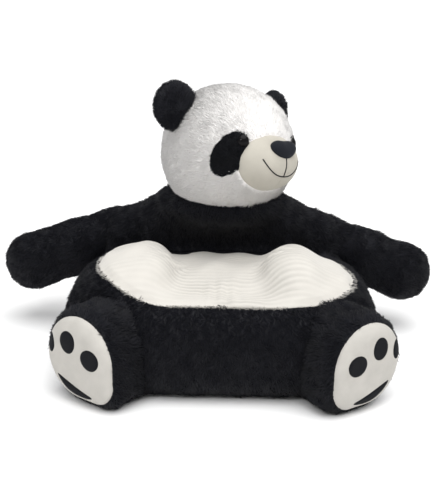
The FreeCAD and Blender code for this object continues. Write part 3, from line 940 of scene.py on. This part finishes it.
# %% Both ears
for side, sign in SIDES:
    lean = FACE @ turned(0, 60 * sign, 0) @ turned(0, 0, -9)
    root = HEAD + lean @ np.array((0.0, 0.0, 0.122)) + (0.002 * sign, 0.0, -0.002)

    def ear_form(points, lean=lean, root=root):
        own = (points - root) @ lean
        disc = ball(own, (0, 0, 0.012), (0.040, 0.015, 0.039))
        dish = ball(own, (0, -0.022, 0.020), (0.026, 0.014, 0.026))
        return both(disc, -dish, 0.008)

    furry(side + "_ear_bag", ear_form, box_round(root + lean @ np.array((0, 0, 0.013)), 0.05),
          "black_plush", side + "_ear", (side + "_ear_cover", side + "_ear_stuffing"),
          lambda points, root=root: (points - root) * 12.0, seed=61, step=3 * MM,
          spacing=1.9 * MM, length=7 * MM, width=2.0 * MM, lift=0.45, clump=0.013)

# %% [markdown]
# ## Arms
# Each arm is a stuffed sleeve, thickest at the paw, that reaches out and a little down.
# Its root is a ball round the shoulder's hinge, buried in the back's pile, so the arm can
# be raised and swung without a gap.

# %% Both arms
# For each arm: its length, how far its paw sags, and how far its root slips down
SAG = {"left": (0.154, 0.024, 0.012), "right": (0.169, 0.014, 0.005)}
for side, sign in SIDES:
    reach = turned(-6 * sign, 108 * sign, 0) @ np.array((0.0, 0.0, 1.0))
    long, sag, slip = SAG[side]
    paw = SHOULDER[side] + reach * long - (0.0, 0.0, sag)
    root = SHOULDER[side] - (0.0, 0.0, slip)
    elbow = SHOULDER[side] + reach * long / 2 - (0.0, 0.0, 0.75 * sag + 0.5 * slip)

    def arm_form(points, root=root, paw=paw, elbow=elbow):
        sleeve = melt(limb(points, root, elbow, 0.039, 0.046),
                      limb(points, elbow, paw, 0.046, 0.051), 0.02)
        return sleeve + 1.2 * MM * noise(points, 0.11, 71)

    low = np.minimum(root, paw) - 0.060
    high = np.maximum(root, paw) + 0.060
    furry(side + "_sleeve", arm_form, (Vector(low), Vector(high)), "black_plush",
          side + "_arm", (side + "_arm_cover", side + "_arm_stuffing", side + "_shoulder_stuffing"),
          lambda points, reach=reach: np.tile(reach, (len(points), 1)) + (0, 0, -0.4), seed=72)

# %% [markdown]
# ## Feet
# A foot is a short fat drum of black pile. Its sole is pale velvet with a seam round it,
# and on it are three toe pads and one long heel pad of black velvet. Each is an outline in
# the sole's own plane, and a puffed patch is raised inside it on the foot's form.

# %% Outlines on a sole
HEEL_UP, SOLE_ROUND = 0.077, 0.068
FOOT_OUT = {"left": 0.134, "right": 0.122}
# Each toe pad: its name, its place across and up the sole, and its half width and height
TOES = (("inner", -0.032, 0.009, 0.0215, 0.0200), ("middle", 0.014, 0.027, 0.0190, 0.0215),
        ("outer", 0.053, 0.016, 0.0120, 0.0185))


def rest_ring(own, sign, radius):
    """Distance in the sole's plane to its round outline, squarer where it rests on the floor."""
    out, up = own[:, 0] * sign, own[:, 1]
    square = rim((-out - radius, -up - radius), 0.55 * radius)
    return np.where((out < 0) & (up < 0), square, np.linalg.norm(own[:, :2], axis=1) - radius)


def heel_segment(own, sign):
    """Distance to the heel pad: a slice of the sole with a straight inner edge."""
    out, up = own[:, 0] * sign + 0.010, own[:, 1] + 0.004
    toward = out * 0.30 - up * 0.954
    return both(np.hypot(out, up) - 0.060, 0.036 - toward, 0.006)


print("a sole is", 2 * SOLE_ROUND, "m across, with", len(TOES), "toe pads")

# %% Both feet
for side, sign in SIDES:
    axes = turned(37 * sign, 0, 90)
    heel = np.array((FOOT_OUT[side] * sign, -0.078, HEEL_UP))

    def own_axes(points, axes=axes, heel=heel):
        return (points - heel) @ axes

    def ahead(own):
        return np.where(own[:, 2] > 0.1, 0.0, 0.1)

    def foot_form(points, own_axes=own_axes, sign=sign):
        own = own_axes(points)
        puff = 0.003 * np.clip(1 - np.square(own[:, :2] / 0.07).sum(axis=1), 0, 1)
        puff -= 0.6 * MM * noise(points, 0.05, 84)
        along = np.abs(own[:, 2] - 0.0815) - 0.0805 - puff
        form = rim((rest_ring(own, sign, 0.0765), along), 0.032)
        return both(form, 0.5 * MM - points[:, 2], 0.004)

    def sole_outline(points, own_axes=own_axes, sign=sign):
        own = own_axes(points)
        return rest_ring(own, sign, SOLE_ROUND) + ahead(own)

    def foot_bare(points, facing, sole_outline=sole_outline):
        return ((sole_outline(points) < -0.5 * MM) | (points[:, 2] < 2 * MM)
                | (seat_form(points) < -8 * MM))

    def foot_flow(points, axes=axes):
        return np.tile(-axes[:, 2], (len(points), 1)) + (0, 0, -0.6)

    middle = heel + axes @ np.array((0, 0, 0.08))
    furry(side + "_foot_bag", foot_form, box_round(middle, 0.120), "black_plush", "torso",
          (side + "_foot_cover", side + "_foot_stuffing"), foot_flow, foot_bare, seed=81)
    front = heel + axes @ np.array((0, 0, 0.150))
    smooth_bag(side + "_sole", patch_form(foot_form, sole_outline, 2.2 * MM, 6 * MM),
               box_round(front, 0.084), 2.6 * MM, "sole_velvet", "torso",
               (side + "_sole_panel",))
    for toe, x, y, wide, tall in TOES:
        half = max(wide, tall)

        def toe_outline(points, own_axes=own_axes, at=(x * sign, y), size=(wide, tall), half=half):
            own = own_axes(points)
            away = (own[:, :2] - at) / size
            return (np.linalg.norm(away, axis=1) - 1.0) * half + ahead(own)

        smooth_bag("%s_%s_toe" % (side, toe), patch_form(foot_form, toe_outline, 3.4 * MM, 1 * MM),
                   box_round(heel + axes @ np.array((x * sign, y, 0.150)), half + 0.022), 1.6 * MM,
                   "black_velvet", "torso", ("%s_toe_pad_%s" % (side, toe),))

    def heel_outline(points, own_axes=own_axes, sign=sign):
        own = own_axes(points)
        return heel_segment(own, sign) + ahead(own)

    smooth_bag(side + "_heel_puff", patch_form(foot_form, heel_outline, 3.4 * MM, 1 * MM),
               box_round(heel + axes @ np.array((0.012 * sign, -0.050, 0.150)), 0.058), 1.6 * MM,
               "black_velvet", "torso", (side + "_heel_pad",))

# %% [markdown]
# ## Underside
# The drum stands on a plain woven cloth. It is flat where it rests and gathers a little at
# its rim, where it is sewn to the pile.

# %% The cloth underneath
cloth_low, cloth_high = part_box("bottom_cloth")
cloth_half = np.array((cloth_high - cloth_low).xy / 2)


def cloth_form(points):
    out = plate(points, cloth_half, 0.126)
    gather = 1.5 * MM * np.clip(1 + out / 0.03, 0, 1) * (1 + noise(points * (1, 1, 0), 0.03, 91))
    return rim((out, np.abs(points[:, 2] - gather - 2.5 * MM) - 2.2 * MM), 1.2 * MM)


cloth_room = (Vector((*(-cloth_half - 0.01), -0.004)), Vector((*(cloth_half + 0.01), 0.016)))
smooth_bag("underside", cloth_form, cloth_room, 3.0 * MM, "black_cloth", "torso",
           ("bottom_cloth",))
print("the cloth underneath is", 2 * cloth_half, "m")

# %% [markdown]
# ## Studio
# A white floor, an even sky and one wide soft light from above give the plain look of a
# catalogue. The camera stands in front, a little above the toy, and looks down on it.

# %% Floor and lights
corners = 40.0 * np.array(((-1, -1, 0), (1, -1, 0), (1, 1, 0), (-1, 1, 0)))
floor_mesh = mesh_of("floor", corners, np.array([[0, 1, 2, 3]]))
floor = bpy.data.objects.new("floor", floor_mesh)
floor.location.z = -0.5 * MM
floor_finish, _, floor_shader = finish_of("white floor", 0.9)
floor_shader.inputs["Base Color"].default_value = (0.93, 0.93, 0.93, 1.0)
floor_mesh.materials.append(floor_finish)
bpy.context.scene.collection.objects.link(floor)

sky = bpy.data.worlds.new("even sky")
sky.use_nodes = True
sky.node_tree.nodes["Background"].inputs["Color"].default_value = (1.0, 1.0, 1.0, 1.0)
sky.node_tree.nodes["Background"].inputs["Strength"].default_value = 0.42
bpy.context.scene.world = sky


def add_light(name, kind, at, aim, **settings):
    lamp = bpy.data.lights.new(name, kind)
    for setting, value in settings.items():
        setattr(lamp, setting, value)
    made = bpy.data.objects.new(name, lamp)
    made.location = at
    made.rotation_euler = (Vector(aim) - Vector(at)).to_track_quat("-Z", "Y").to_euler()
    bpy.context.scene.collection.objects.link(made)
    return made


add_light("overhead", "SUN", (0.6, -0.6, 3.0), (0, 0, 0), energy=3.4, angle=math.radians(70))
add_light("window", "AREA", (-0.9, -1.6, 1.5), (0, 0, 0.3), energy=5.0, size=0.22)
add_light("lamp", "AREA", (-0.5, -1.7, 1.5), (0, 0, 0.3), energy=4.0, size=0.18)
bpy.context.scene.view_settings.view_transform = "Standard"
print("lights:", [lamp.name for lamp in bpy.data.lights])

# %% Camera
PITCH, ROLL, DISTANCE = 18.0, 1.2, 1.6
TARGET = Vector((0.0, 0.0, 0.19))
camera = bpy.data.objects.new("camera", bpy.data.cameras.new("camera"))
camera.data.lens = 68.4
camera.data.shift_x, camera.data.shift_y = -0.0091, 0.0071
down = math.radians(PITCH)
stand = TARGET + Vector((0.0, -math.cos(down), math.sin(down))) * DISTANCE
camera.matrix_world = (Matrix.Translation(stand) @ Matrix.Rotation(math.radians(90) - down, 4, "X")
                       @ Matrix.Rotation(math.radians(ROLL), 4, "Z"))
bpy.context.scene.collection.objects.link(camera)
bpy.context.scene.camera = camera
print("the camera stands at", tuple(round(value, 3) for value in stand))
